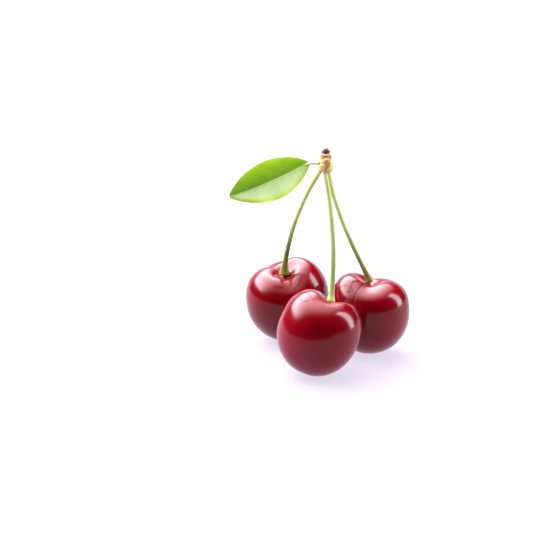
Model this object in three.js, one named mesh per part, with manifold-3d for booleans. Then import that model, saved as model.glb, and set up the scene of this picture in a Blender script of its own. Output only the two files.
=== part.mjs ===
// Three sweet cherries on their own stalks, joined at one fruiting spur that also carries a small leaf.
// Millimetres, +Z up, -Y is the front. The cluster stands on its three fruits, as a tripod, on the plane
// z = 0, and the origin is under the middle of its bounding box.
// Each fruit, stalk, bud, bud scale and leaf is one closed solid, as it grew.
import * as THREE from "three";
import { mergeVertices } from "three/addons/utils/BufferGeometryUtils.js";
import Module from "manifold-3d";

const wasm = await Module();
wasm.setup();

// ---------------------------------------------------------------- driving dimensions

const JOIN_GAP = 0.2; // left between two pieces that are grown together in life
const TABLE_DENT = 0.1; // how far the skin of a ripe fruit flattens where it rests

// Width is from cheek to cheek, thickness from suture to back, height from shoulder to tip, and cavity is
// the depth of the stalk cavity as a share of the radius. lean is the tilt of the fruit's axis in degrees,
// towards the bearing leanTo. sutureTo is the bearing that the suture faces. lopsided raises one cheek's
// shoulder and lowers the other's, as a share of the radius. fullness is the exponent of the upper half, where
// 2 is an ellipse and more is squarer shoulders.
const FRUITS = {
  left: {
    width: 26.9,
    thickness: 25.9,
    height: 26,
    cavity: 0.28,
    lean: 18,
    leanTo: -114,
    sutureTo: 112,
    lopsided: -0.03,
    fullness: 2.5,
  },
  front: {
    width: 25,
    thickness: 24.2,
    height: 25.4,
    cavity: 0.26,
    lean: 26,
    leanTo: 32,
    sutureTo: 75,
    lopsided: 0,
    fullness: 2.5,
  },
  right: {
    width: 24.8,
    thickness: 24.2,
    height: 24.6,
    cavity: 0.22,
    lean: 3,
    leanTo: 85,
    sutureTo: -100,
    lopsided: -0.085,
    fullness: 2.9,
  },
};
const GAP_FRONT_RIGHT = 0.8; // between the two fruits, measured over their widths
const GAP_RIGHT_LEFT = 2.1;
const GAP_LEFT_FRONT = 6;
const FRONT_TO_RIGHT = 49.9; // bearing of the right fruit, seen from the front one
const SPUR_ASIDE = -0.37; // x of the spur, from the middle of the three fruits

// Shape of every fruit: an ellipsoid with full shoulders, a stalk cavity, a notch at the suture, a dip at the
// back and a small dimple at the tip.
const FRUIT_AROUND = 30; // mesh columns
const FRUIT_DOWN = 22; // mesh rows
const WAIST_SHARE = 0.46; // share of the height that lies above the widest level
const TIP_FULLNESS = 2.05; // exponent of the lower half
const CAVITY_SPREAD = 20; // degrees from the axis
const CAVITY_SHARPNESS = 3;
const NOTCH_DEPTH = 0.13; // dip of the shoulder at the suture, as a share of the radius
const NOTCH_SPREAD = 36; // degrees round the axis
const BACK_DIP = 0.1; // dip of the shoulder opposite the suture
const LOBE_RISE = 0.035; // rise of the shoulder over each cheek, as a share of the radius
const SHOULDER_AT = 30; // degrees from the axis
const SHOULDER_SPREAD = 24;
const TIP_DIMPLE = 0.025; // share of the radius
const TIP_DIMPLE_SPREAD = 9; // degrees from the axis

// Stalks: at is where each one leaves the spur's underside, in spur radii, out its first direction and pull
// how far it holds it. meets is the direction in which it rises from the fruit, and grip how far it holds
// that.
const STALKS = {
  left: { at: [-0.86, 0.11], out: [-0.62, 0.2, -1], pull: 12, meets: [0.05, -0.2, 1], grip: 12 },
  front: { at: [-0.16, -0.49], out: [0.2, -0.25, -1], pull: 13, meets: [0.15, 0.3, 1], grip: 13 },
  right: { at: [0.51, 0.24], out: [0.12, 0.05, -1], pull: 12, meets: [-0.47, 0, 1], grip: 12 },
};
const STALK_SIDES = 10;
const STALK_ROWS = 24;
const STALK_RADIUS = 0.74; // mid-length
const STALK_TOP_RADIUS = 0.72;
const STALK_FOOT_RADIUS = 1.45; // receptacle that sits on the floor of the fruit's cavity
const STALK_FLARE = 4.5; // length over which the foot widens
const STALK_FOOT_ROUND = 1.1; // height of the rounded underside of the foot
const STALK_FOOT_GAP = 0.2; // least distance between the foot and the wall or floor of the cavity
const FOOT_RINGS = [0.3, 0.5, 1, 2]; // heights on the foot that keep that distance, in STALK_FOOT_ROUND

// Spur: the short woody shoot that the stalks hang from, with rings left by old bud scales.
const SPUR_Z = 59.2; // underside of the wood above the table
const SPUR_HEIGHT = 5.2;
const SPUR_RADIUS = 1.85; // at the underside
const SPUR_TOP_RADIUS = 1.6;
const SPUR_RINGS = 4;
const RING_DEPTH = 0.14;
const SPUR_SIDES = 18;
const SCAR_SIZE = [1.2, 0.75, 1]; // half extents of the old leaf scar that stands out on the front
const SCAR_AT = [0.2, 3.3]; // its middle: x, and height over the spur's underside

// Bud scales: four dry scales that wrap the spur's lower half.
const SCALE_COUNT = 4;
const SCALE_START = 45; // bearing of the first one's middle
const SCALE_HALF_ANGLE = 40; // degrees
const SCALE_THICKNESS = 0.42;
const SCALE_HEIGHT = 2.3;
const SCALE_SLANT = 0.2; // one end of the lower edge hangs this much lower than the middle

// Tip of the spur: a terminal bud between two small scales.
const BUD_RADIUS = 1;
const BUD_HEIGHT = 1.5;
const TIP_SCALE_HEIGHT = 0.9;
const TIP_SCALE_HALF_ANGLE = 28; // degrees

// Leaf: one small leaf on a short stalk, folded a little along its midrib.
const LEAF_LENGTH = 26;
const LEAF_WIDTH = 12.9;
const LEAF_THICKNESS = 0.35;
const LEAF_FOLD = 20; // degrees that each half rises
const LEAF_ARCH = 1.2; // how far the middle of the midrib stands out on the upper side
const LEAF_BOW = 0.8; // how far the middle of the midrib lies to the lower side
const LEAF_HEADING = [-25.2, -6.5, -9.4]; // direction from base to tip
const LEAF_FACE = [0, -0.92, 0.39]; // the way the upper side faces
const LEAF_ALONG = 22; // mesh cells
const LEAF_ACROSS = 8;
const LEAF_STALK_RADIUS = 0.42;
const LEAF_STALK_REACH = 5.1; // from the spur's axis to the blade
const LEAF_STALK_Z = 2.3; // above the spur's underside
const LEAF_STALK_DROP = 0.1;

// ---------------------------------------------------------------- helpers

const rad = THREE.MathUtils.degToRad;
const up = new THREE.Vector3(0, 0, 1);

function vector(list) {
  return new THREE.Vector3(...list);
}

// A bell of height 1 at 0 that has fallen to 1/e at x = spread.
function bell(x, spread, sharpness = 2) {
  return Math.exp(-Math.pow(Math.abs(x) / spread, sharpness));
}

// The smallest turn from one bearing to another, in degrees.
function turn(degrees) {
  return ((((degrees + 180) % 360) + 360) % 360) - 180;
}

// Moves every vertex of a geometry to where(vertex) and drops what the move makes false.
function reshape(geometry, where) {
  const position = geometry.getAttribute("position");
  const vertex = new THREE.Vector3();
  for (let i = 0; i < position.count; i += 1) {
    where(vertex.fromBufferAttribute(position, i));
    position.setXYZ(i, vertex.x, vertex.y, vertex.z);
  }
  geometry.deleteAttribute("normal");
  geometry.deleteAttribute("uv");
  return mergeVertices(geometry, 1e-4);
}

function solidOf(geometry) {
  return new wasm.Manifold(
    new wasm.Mesh({
      numProp: 3,
      vertProperties: geometry.getAttribute("position").array,
      triVerts: new Uint32Array(geometry.index.array),
    }),
  );
}

function geometryOf(solid) {
  const mesh = solid.getMesh();
  const geometry = new THREE.BufferGeometry();
  geometry.setAttribute("position", new THREE.BufferAttribute(mesh.vertProperties, 3));
  geometry.setIndex(new THREE.BufferAttribute(mesh.triVerts, 1));
  geometry.computeVertexNormals();
  return geometry;
}

function addMesh(group, name, geometry, material) {
  geometry.computeVertexNormals();
  const mesh = new THREE.Mesh(geometry, material);
  mesh.name = name;
  group.add(mesh);
  return mesh;
}

// A round rod that follows a curve: profile holds [distance along the curve, radius] rows, and both ends are
// closed.
function rodAlong(curve, profile, sides) {
  const length = curve.getLength();
  const rows = [[0, 0], ...profile, [length, 0]];
  const straight = new THREE.LatheGeometry(
    rows.map(([along, radius]) => new THREE.Vector2(radius, along)),
    sides,
  );
  const fine = 200;
  const frames = curve.computeFrenetFrames(fine);
  return reshape(straight, (vertex) => {
    const share = THREE.MathUtils.clamp(vertex.y / length, 0, 1);
    const k = Math.round(share * fine);
    const side = frames.normals[k].clone().multiplyScalar(vertex.x);
    const other = frames.binormals[k].clone().multiplyScalar(-vertex.z);
    vertex.copy(curve.getPointAt(share)).add(side).add(other);
  });
}

// ---------------------------------------------------------------- materials

const skin = new THREE.MeshStandardMaterial({ color: 0x7d0612, roughness: 0.14, metalness: 0 });
const stalkGreen = new THREE.MeshStandardMaterial({ color: 0x9db254, roughness: 0.45, metalness: 0 });
const wood = new THREE.MeshStandardMaterial({ color: 0xb98f4e, roughness: 0.75, metalness: 0 });
const dryScale = new THREE.MeshStandardMaterial({ color: 0xd8b873, roughness: 0.7, metalness: 0 });
const budBrown = new THREE.MeshStandardMaterial({ color: 0x55211b, roughness: 0.5, metalness: 0 });
const leafGreen = new THREE.MeshStandardMaterial({ color: 0x86b72c, roughness: 0.4, metalness: 0 });

// ---------------------------------------------------------------- fruits

// Distance from the fruit's centre to its skin. down is the angle from the stalk end and round the angle from
// the suture, both in degrees.
function skinRadius(fruit, down, round) {
  const above = down < 90;
  const girth =
    1 / Math.hypot(Math.cos(rad(round)) / (fruit.thickness / 2), Math.sin(rad(round)) / (fruit.width / 2));
  const rise = fruit.height * (above ? WAIST_SHARE : 1 - WAIST_SHARE);
  const fullness = above ? fruit.fullness : TIP_FULLNESS;
  const across = Math.pow(Math.sin(rad(down)) / girth, fullness);
  const along = Math.pow(Math.abs(Math.cos(rad(down))) / rise, fullness);
  const body = Math.pow(across + along, -1 / fullness);
  const shoulder = bell(down - SHOULDER_AT, SHOULDER_SPREAD);
  const cheek = Math.sin(rad(round));
  return (
    body *
    (1 - fruit.cavity * bell(down, CAVITY_SPREAD, CAVITY_SHARPNESS)) *
    (1 - NOTCH_DEPTH * bell(turn(round), NOTCH_SPREAD) * shoulder) *
    (1 - BACK_DIP * bell(turn(round - 180), NOTCH_SPREAD) * shoulder) *
    (1 + (LOBE_RISE * cheek ** 2 + fruit.lopsided * cheek) * shoulder) *
    (1 - TIP_DIMPLE * bell(180 - down, TIP_DIMPLE_SPREAD))
  );
}

// Mesh rows crowd towards the stalk cavity, where the skin bends most.
function rowAngle(share) {
  return 180 * Math.pow(share, 1.25);
}

function fruitAxis(fruit) {
  const slope = Math.sin(rad(fruit.lean));
  const bearing = rad(fruit.leanTo);
  return new THREE.Vector3(slope * Math.cos(bearing), slope * Math.sin(bearing), Math.cos(rad(fruit.lean)));
}

// The fruit, already leaning, with its lowest point TABLE_DENT below the table it rests on. What lies below
// the table is cut off, which leaves the small flat that the fruit rests on.
function growFruit(fruit) {
  const lean = new THREE.Quaternion().setFromUnitVectors(up, fruitAxis(fruit));
  const sphere = new THREE.SphereGeometry(1, FRUIT_AROUND, FRUIT_DOWN);
  sphere.rotateX(Math.PI / 2);
  const geometry = reshape(sphere, (vertex) => {
    const share = Math.acos(THREE.MathUtils.clamp(vertex.z, -1, 1)) / Math.PI;
    const down = rowAngle(share);
    const round = THREE.MathUtils.radToDeg(Math.atan2(vertex.y, vertex.x));
    const bearing = rad(round + fruit.sutureTo);
    const across = Math.sin(rad(down));
    vertex.set(across * Math.cos(bearing), across * Math.sin(bearing), Math.cos(rad(down)));
    vertex.multiplyScalar(skinRadius(fruit, down, round)).applyQuaternion(lean);
  });
  geometry.computeBoundingBox();
  const centreZ = -geometry.boundingBox.min.z - TABLE_DENT;
  geometry.translate(0, 0, centreZ);
  const reach = fruit.width + fruit.height;
  const table = reshape(new THREE.BoxGeometry(reach, reach, reach), (vertex) => {
    vertex.z -= reach / 2;
  });
  return { solid: solidOf(geometry).subtract(solidOf(table)), centreZ };
}

// Centres of the fruits on the table. Each side of their triangle is two half widths and the gap between
// them, and the spur's plumb line, x = y = 0, falls near the middle of the three.
function layOut() {
  const half = (name) => FRUITS[name].width / 2;
  const frontRight = half("front") + half("right") + GAP_FRONT_RIGHT;
  const rightLeft = half("right") + half("left") + GAP_RIGHT_LEFT;
  const leftFront = half("left") + half("front") + GAP_LEFT_FRONT;
  const cosine = (frontRight ** 2 + leftFront ** 2 - rightLeft ** 2) / (2 * frontRight * leftFront);
  const corner = Math.acos(cosine);
  const bearing = rad(FRONT_TO_RIGHT);
  const centres = {
    front: new THREE.Vector2(0, 0),
    right: new THREE.Vector2(Math.cos(bearing), Math.sin(bearing)).multiplyScalar(frontRight),
    left: new THREE.Vector2(Math.cos(bearing + corner), Math.sin(bearing + corner)).multiplyScalar(leftFront),
  };
  const middle = new THREE.Vector2()
    .add(centres.front)
    .add(centres.right)
    .add(centres.left)
    .divideScalar(3);
  middle.x += SPUR_ASIDE;
  for (const centre of Object.values(centres)) centre.sub(middle);
  return centres;
}

// ---------------------------------------------------------------- stalks

function stalkCurve(stalk, foot) {
  const [x, y] = stalk.at;
  const top = new THREE.Vector3(x * SPUR_RADIUS, y * SPUR_RADIUS, SPUR_Z - JOIN_GAP);
  const out = vector(stalk.out).setLength(stalk.pull);
  const meets = vector(stalk.meets).setLength(stalk.grip);
  return new THREE.CubicBezierCurve3(top, top.clone().add(out), foot.clone().add(meets), foot);
}

// Half thickness of a stalk at a distance from its foot and from its top.
function stalkRadius(toFoot, along) {
  const flare = (STALK_FOOT_RADIUS - STALK_RADIUS) * bell(toFoot, STALK_FLARE / 2, 1.6);
  const neck = (STALK_TOP_RADIUS - STALK_RADIUS) * bell(along, STALK_FLARE);
  const rounding = Math.sqrt(1 - Math.max(0, 1 - toFoot / STALK_FOOT_ROUND) ** 2);
  return (STALK_RADIUS + flare + neck) * rounding;
}

// Where the stalk's foot ends: on the fruit's axis, as deep in the cavity as the rings of its lowest part can
// go, STALK_FOOT_GAP clear of the skin.
function seatStalk(stalk, fruit, middle) {
  const axis = fruitAxis(fruit);
  const lean = new THREE.Quaternion().setFromUnitVectors(up, axis).invert();
  const rising = vector(stalk.meets).normalize();
  const side = rising.clone().cross(new THREE.Vector3(0, 1, 0)).normalize();
  const foot = axis.clone().multiplyScalar(skinRadius(fruit, 0, 0) + STALK_FOOT_GAP);
  const clears = (point) => {
    const seen = point.clone().applyQuaternion(lean);
    const down = THREE.MathUtils.radToDeg(Math.acos(seen.z / seen.length()));
    const round = THREE.MathUtils.radToDeg(Math.atan2(seen.y, seen.x)) - fruit.sutureTo;
    return seen.length() >= skinRadius(fruit, down, round) + STALK_FOOT_GAP;
  };
  const rings = [];
  for (const toFoot of FOOT_RINGS.map((height) => height * STALK_FOOT_ROUND)) {
    const radius = stalkRadius(toFoot, SPUR_Z);
    for (let i = 0; i < STALK_SIDES * 2; i += 1) {
      const spoke = side.clone().applyAxisAngle(rising, (Math.PI * i) / STALK_SIDES);
      rings.push(spoke.multiplyScalar(radius).addScaledVector(rising, toFoot));
    }
  }
  while (!rings.every((point) => clears(point.clone().add(foot)))) foot.addScaledVector(axis, JOIN_GAP / 4);
  return foot.add(middle);
}

function growStalk(curve) {
  const length = curve.getLength();
  const profile = [];
  for (let i = 0; i < STALK_ROWS; i += 1) {
    const toFoot = length * (1 - i / STALK_ROWS) ** 2;
    profile.push([length - toFoot, stalkRadius(toFoot, length - toFoot)]);
  }
  return rodAlong(curve, profile, STALK_SIDES);
}

// ---------------------------------------------------------------- spur, bud and scales

// A turned shape standing on z = 0: profile holds [radius, height] rows from the bottom up.
function turned(profile, sides) {
  const top = profile[profile.length - 1][1];
  const rows = [[0, profile[0][1]], ...profile, [0, top]];
  const geometry = new THREE.LatheGeometry(
    rows.map(([radius, height]) => new THREE.Vector2(radius, height)),
    sides,
  );
  geometry.rotateX(Math.PI / 2);
  return reshape(geometry, () => {});
}

function growSpur() {
  const rows = SPUR_RINGS * 3;
  const profile = [];
  for (let i = 0; i <= rows; i += 1) {
    const share = i / rows;
    const radius = THREE.MathUtils.lerp(SPUR_RADIUS, SPUR_TOP_RADIUS, share);
    const ring = RING_DEPTH * Math.cos(2 * Math.PI * share * SPUR_RINGS);
    profile.push([radius - RING_DEPTH + ring, share * SPUR_HEIGHT]);
  }
  const scar = new THREE.SphereGeometry(1, 12, 8);
  scar.scale(...SCAR_SIZE);
  scar.translate(SCAR_AT[0], -SPUR_TOP_RADIUS, SCAR_AT[1]);
  const scarSolid = solidOf(reshape(scar, () => {}));
  return geometryOf(solidOf(turned(profile, SPUR_SIDES)).add(scarSolid));
}

function growBud() {
  const profile = [];
  const rows = 6;
  for (let i = 0; i < rows; i += 1) {
    const share = i / rows;
    profile.push([BUD_RADIUS * Math.cos((share * Math.PI) / 2) ** 0.7, BUD_HEIGHT * share]);
  }
  return turned(profile, SPUR_SIDES);
}

// One scale: a plate of cells bent round an upright axis, tapering to its rounded upper end.
function growScale(bearing, halfAngle, inside, height, slant) {
  const plate = new THREE.BoxGeometry(2, 1, 1, 8, 1, 6);
  plate.translate(0, 0.5, 0.5);
  return reshape(plate, (vertex) => {
    const share = vertex.z;
    const taper = Math.sqrt(1 - 0.93 * share ** 3);
    const angle = rad(bearing) - rad(halfAngle) * vertex.x * taper;
    const radius = inside + SCALE_THICKNESS * vertex.y * (1 - share / 3);
    const z = share * height + slant * (1 - vertex.x * taper);
    vertex.set(radius * Math.cos(angle), radius * Math.sin(angle), z);
  });
}

// ---------------------------------------------------------------- leaf

// Half width of the blade at a share of the way from its base to its tip.
function leafHalfWidth(share) {
  const outline = Math.sin(Math.PI * share) ** 0.75;
  return 0.35 + (LEAF_WIDTH / 2 - 0.35) * outline;
}

function growLeaf() {
  const base = new THREE.Vector3(-LEAF_STALK_REACH, 0, LEAF_STALK_Z - LEAF_STALK_DROP);
  const heading = vector(LEAF_HEADING).normalize();
  const across = vector(LEAF_FACE).cross(heading).normalize();
  const face = heading.clone().cross(across).normalize();
  const blade = new THREE.BoxGeometry(2, 1, 1, LEAF_ACROSS, 1, LEAF_ALONG);
  blade.translate(0, 0, 0.5);
  const bladeGeometry = reshape(blade, (vertex) => {
    const half = leafHalfWidth(vertex.z);
    const side = vertex.x * half;
    const bulge = Math.sin(Math.PI * vertex.z);
    const lift = Math.abs(side) * Math.sin(rad(LEAF_FOLD)) + LEAF_ARCH * bulge;
    const level = vertex.y * LEAF_THICKNESS;
    const along = vertex.z * LEAF_LENGTH;
    vertex
      .copy(base)
      .addScaledVector(heading, along)
      .addScaledVector(across, side * Math.cos(rad(LEAF_FOLD)) + LEAF_BOW * bulge)
      .addScaledVector(face, lift + level);
  });
  const root = new THREE.Vector3(-SPUR_RADIUS - JOIN_GAP, 0, LEAF_STALK_Z);
  const into = base.clone().addScaledVector(heading, 2).addScaledVector(face, LEAF_ARCH * 0.2);
  const curve = new THREE.QuadraticBezierCurve3(root, base, into);
  const length = curve.getLength();
  const profile = [
    [0, LEAF_STALK_RADIUS * 1.15],
    [length * 0.3, LEAF_STALK_RADIUS],
    [length * 0.7, LEAF_STALK_RADIUS],
    [length, LEAF_STALK_RADIUS * 0.8],
  ];
  const stalk = rodAlong(curve, profile, STALK_SIDES);
  return geometryOf(solidOf(bladeGeometry).add(solidOf(stalk)));
}

// ---------------------------------------------------------------- assembly

const cluster = new THREE.Group();
const centres = layOut();

for (const [side, fruit] of Object.entries(FRUITS)) {
  const { solid, centreZ } = growFruit(fruit);
  const mesh = addMesh(cluster, `cherry_${side}`, geometryOf(solid), skin);
  mesh.position.set(centres[side].x, centres[side].y, 0);
  const middle = new THREE.Vector3(centres[side].x, centres[side].y, centreZ);
  const foot = seatStalk(STALKS[side], fruit, middle);
  addMesh(cluster, `stalk_${side}`, growStalk(stalkCurve(STALKS[side], foot)), stalkGreen);
}

const shoot = new THREE.Group();
shoot.position.z = SPUR_Z;
cluster.add(shoot);
addMesh(shoot, "spur", growSpur(), wood);
const bud = addMesh(shoot, "spur_bud", growBud(), budBrown);
bud.position.z = SPUR_HEIGHT + JOIN_GAP;
for (const [name, bearing] of [["left", 180], ["right", 0]]) {
  const geometry = growScale(bearing, TIP_SCALE_HALF_ANGLE, BUD_RADIUS + JOIN_GAP, TIP_SCALE_HEIGHT, 0);
  const scale = addMesh(shoot, `tip_scale_${name}`, geometry, budBrown);
  scale.position.z = SPUR_HEIGHT + JOIN_GAP;
}
for (let i = 0; i < SCALE_COUNT; i += 1) {
  const bearing = SCALE_START + (i * 360) / SCALE_COUNT;
  const slant = i % 2 ? SCALE_SLANT : -SCALE_SLANT;
  const geometry = growScale(bearing, SCALE_HALF_ANGLE, SPUR_RADIUS + JOIN_GAP, SCALE_HEIGHT, slant);
  addMesh(shoot, `bud_scale_${i + 1}`, geometry, dryScale);
}
addMesh(shoot, "leaf", growLeaf(), leafGreen);

// The origin goes under the middle of the whole cluster's box.
cluster.updateMatrixWorld(true);
const box = new THREE.Box3().setFromObject(cluster, true);
const middle = box.getCenter(new THREE.Vector3());
for (const child of cluster.children) child.position.sub(new THREE.Vector3(middle.x, middle.y, 0));

export default cluster;
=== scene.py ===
"""Three ripe dark cherries on their own stalks, grown from one fruiting spur that also carries a small leaf.

Lengths in this file are millimetres until a mesh is made, and angles are degrees.
"""

import math

import bmesh
import bpy
import numpy as np
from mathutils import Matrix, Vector


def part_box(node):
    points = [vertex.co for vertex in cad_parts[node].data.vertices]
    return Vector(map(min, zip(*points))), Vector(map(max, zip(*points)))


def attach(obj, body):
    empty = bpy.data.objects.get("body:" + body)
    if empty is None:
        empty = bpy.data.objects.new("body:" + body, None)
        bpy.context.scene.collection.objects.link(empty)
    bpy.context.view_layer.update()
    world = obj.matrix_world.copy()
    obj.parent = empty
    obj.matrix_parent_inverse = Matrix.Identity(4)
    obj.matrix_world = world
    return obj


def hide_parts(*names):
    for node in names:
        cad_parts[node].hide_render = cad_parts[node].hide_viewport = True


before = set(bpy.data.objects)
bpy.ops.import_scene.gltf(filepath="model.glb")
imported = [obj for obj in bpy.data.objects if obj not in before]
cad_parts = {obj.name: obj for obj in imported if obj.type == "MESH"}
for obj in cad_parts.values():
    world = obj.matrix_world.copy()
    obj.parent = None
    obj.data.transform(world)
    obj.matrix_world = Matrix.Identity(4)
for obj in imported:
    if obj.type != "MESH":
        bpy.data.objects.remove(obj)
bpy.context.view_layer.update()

MM = 0.001
UP = np.array([0.0, 0.0, 1.0])

# ---------------------------------------------------------------- sizes of the cluster

TABLE_DENT = 0.1  # how far ripe skin flattens where it rests
JOIN_GAP = 0.2  # left between pieces that are grown together

# Width is from cheek to cheek, thickness from suture to back, height from shoulder to tip. cavity is the
# depth of the stalk cavity as a share of the radius. lean is the tilt of the fruit's axis towards the
# bearing lean_to. The notch in the shoulder faces suture_to, and the crease of the suture runs down the
# skin crease_at from there. lopsided raises one cheek's shoulder and lowers the other's. fullness is the
# exponent of the upper half, where 2 is an ellipse and more is squarer shoulders.
CHERRIES = {
    "left": {
        "width": 26.9, "thickness": 25.9, "height": 26.0, "cavity": 0.28, "lean": 18, "lean_to": -114,
        "suture_to": 112, "lopsided": -0.03, "fullness": 2.5, "crease_at": 0, "seed": 11,
    },
    "front": {
        "width": 25.0, "thickness": 24.2, "height": 25.4, "cavity": 0.26, "lean": 26, "lean_to": 32,
        "suture_to": 75, "lopsided": 0.0, "fullness": 2.5, "crease_at": 0, "seed": 23,
    },
    "right": {
        "width": 24.8, "thickness": 24.2, "height": 24.6, "cavity": 0.22, "lean": 3, "lean_to": 85,
        "suture_to": -100, "lopsided": -0.085, "fullness": 2.9, "crease_at": -20, "seed": 37,
    },
}
WAIST_SHARE = 0.46  # share of the height above the widest level
TIP_FULLNESS = 2.05  # exponent of the lower half
CAVITY_SPREAD = 20
CAVITY_SHARPNESS = 3
NOTCH_DEPTH = 0.13  # this and the next dips and rises are shares of the radius
NOTCH_SPREAD = 36
BACK_DIP = 0.1
LOBE_RISE = 0.035
SHOULDER_AT = 30
SHOULDER_SPREAD = 24
TIP_DIMPLE = 0.025
TIP_DIMPLE_SPREAD = 9
TIP_SCAR_SPREAD = 3.2
SKIN_COLUMNS = 216
SKIN_ROWS = 150
ROW_CROWDING = 1.25  # how strongly the mesh rows crowd towards the stalk end
POLE_GAP = 0.4  # degrees that the first and the last row stop short of the axis
CREASE_CROWDING = 0.78  # how strongly the mesh columns crowd towards the crease
CREASE_DEPTH = 0.08
CREASE_SPREAD = 1.5  # degrees round the axis
CREASE_MIDDLE = 32  # where down the skin the crease is deepest
CREASE_REACH = 34
SKIN_BALL = 12  # radius of the ball that the skin's unevenness is taken from
SWELL_RISE = 0.06  # slow unevenness of the skin
SWELL_SIZE = 7
RIPPLE_SIZE = 2.2  # a finer unevenness, an eighth as high
PUCKER_DEPTH = 0.004  # fine folds that run out of the stalk cavity
PUCKER_COUNT = 11
PUCKER_UNEVENNESS = 40
PUCKER_SPREAD = 9
CALM_SHARE = 0.85  # how much of the unevenness is missing in the stalk cavity
CALM_SPREAD = 42
FLOOR_GLOW_SPREAD = 72  # size of the part round the tip that is painted pinker, as light thrown up from the floor

# at is where a stalk leaves the spur's underside, in spur radii. out and pull shape its upper end, meets
# and grip its lower end. foot is the radius of the receptacle in the cavity, and flare is the length of
# stalk that widens to it.
STALKS = {
    "left": {
        "at": [-0.86, 0.11], "out": [-0.62, 0.2, -1], "pull": 12, "meets": [0.05, -0.2, 1], "grip": 12,
        "foot": 1.65, "flare": 6.5,
    },
    "front": {
        "at": [-0.16, -0.49], "out": [0.2, -0.25, -1], "pull": 13, "meets": [0.15, 0.3, 1], "grip": 13,
        "foot": 1.42, "flare": 4.5,
    },
    "right": {
        "at": [0.51, 0.24], "out": [0.12, 0.05, -1], "pull": 12, "meets": [-0.47, 0, 1], "grip": 12,
        "foot": 1.35, "flare": 5,
    },
}
STALK_RADIUS = 0.73
STALK_TOP_RADIUS = 0.71
STALK_NECK = 4.5  # length of stalk under the spur that keeps the top radius
STALK_FOOT_ROUND = 0.75
STALK_TOP_ROUND = 0.15
STALK_RIB_RISE = 0.025
STALK_GROOVE_DEPTH = 0.05
STALK_GROOVE_TWIST = 3  # degrees for each millimetre
FOOT_RIMS = [(0.07, 1.25, 0.35), (0.02, 2.1, 0.3)]  # rise, place above the foot and spread of each rolled rim
STALK_WANDER = 0.03  # how far a stalk strays from its smooth curve
STALK_SIDES = 40
STALK_ROWS = 220

SPUR_HEIGHT = 5.2
SPUR_RADIUS = 1.85
SPUR_BARREL = [(0, 1.62), (1, 1.74), (2.8, 1.86), (3.9, 1.78), (4.7, 1.66), (5.2, 1.4)]  # heights and radii
SPUR_ROWS = 200
SPUR_SIDES = 160
RING_SCARS = [0.25, 2.55, 3.35, 4.05, 4.55]  # heights of the grooves left by each year's scales
RING_DEPTH = 0.16
RING_WIDTH = 0.17
SPUR_LUMPS = [(0.045, 0.9, 5), (0.02, 0.35, 6)]  # rise, size and seed
SPUR_MEAN_RADIUS = 1.7
SPUR_EDGE_ROUND = 0.12
KNOB_SIZE = [1.25, 0.8, 0.95]  # half its width, how far it stands out, half its height
KNOB_AT = [0.2, 3.3]  # to the right, and up the spur

SCALE_COUNT = 4
SCALE_START = 45  # bearing of the first scale
SCALE_HALF_ANGLE = 45
SCALE_ROWS = 48
SCALE_COLUMNS = 44
SCALE_EDGE = 0.06  # thickness at its edges
SCALE_THICKNESS = 0.5
SCALE_HEIGHT = 2.6
SCALE_INSIDE = (1.86, 1.98)  # radii that a scale lies on, at its lower and its upper end
SCALE_DROP = 0.1  # how far a scale reaches below the spur's foot
SCALE_SHEAR = 34  # degrees that the upper end of a scale lies further round than its lower end

BUD_RADIUS = 1.0
BUD_HEIGHT = 1.5
BUD_ROWS = 60
BUD_SIDES = 72
BUD_TURNS = 3.2  # rounds that the bud's own scales wind from its foot to its tip
TIP_SCALE_HEIGHT = 0.65
TIP_SCALE_THICKNESS = 0.3
TIP_SCALE_INSIDE = (BUD_RADIUS + 0.12, BUD_RADIUS - 0.05)
TIP_SCALE_HALF_ANGLE = 20

LEAF_LENGTH = 26.3
LEAF_WIDTH = 13.1
LEAF_THICKNESS = 0.3
LEAF_END_HALF = 0.35  # half the blade's width at its base and at its tip
FOLD_ROUND = 0.35  # how softly the blade folds along the midrib
LEAF_FOLD = 20  # how far each half is lifted about the midrib
LEAF_ARCH = 1.2  # how far the midrib rises in the middle
LEAF_BOW = 0.8  # how far the midrib bends to one side
LEAF_HEADING = [-25.2, -6.5, -9.4]
LEAF_FACE = [0, -0.92, 0.39]
LEAF_ROWS = 260
LEAF_COLUMNS = 110
LEAF_WAVE = 0.3  # how far the margin waves up and down
MIDRIB_RISE = 0.4  # how far the midrib stands out of the underside
MIDRIB_GROOVE = 0.16
LEAF_STALK_RADIUS = 0.5
LEAF_STALK_ROWS = 60
LEAF_STALK_SIDES = 28
LEAF_STALK_REACH = 5.1  # how far to the left of the spur's axis the blade starts
LEAF_STALK_Z = 2.3  # height on the spur
LEAF_STALK_DROP = 0.1  # how much lower the blade starts
TOOTH_PITCH = 0.85
TOOTH_DEPTH = 0.1
VEIN_PITCH = 1.55  # from one side vein to the next along the midrib
VEIN_SLOPE = 0.85  # how far a side vein runs towards the tip for each millimetre it runs outwards
VEIN_WIDTH = 0.11
VEIN_DEPTH = 0.05
QUILT_RISE = 0.045  # how far the blade puffs up between two side veins

# ---------------------------------------------------------------- shape helpers


def unit(values):
    """A vector of length 1 that points the same way."""
    vector = np.array(values, float)
    return vector / np.linalg.norm(vector)


def bell(x, spread, sharpness=2.0):
    """A bell of height 1 at 0 that has fallen to 1/e at x = spread."""
    return np.exp(-np.power(np.abs(x) / spread, sharpness))


def turn(degrees):
    """The smallest turn from one bearing to another."""
    return (degrees + 180) % 360 - 180


def swell(points, size, seed, waves=14):
    """Smooth random relief of about -1 to 1, with swells about size mm across."""
    chance = np.random.default_rng(seed)
    total = np.zeros(points.shape[:-1])
    for _ in range(waves):
        way = unit(chance.normal(size=3))
        pace = chance.uniform(0.6, 1.5) * math.pi / size
        total += np.sin(points @ way * pace + chance.uniform(0, 2 * math.pi))
    return total / math.sqrt(waves)


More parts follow.
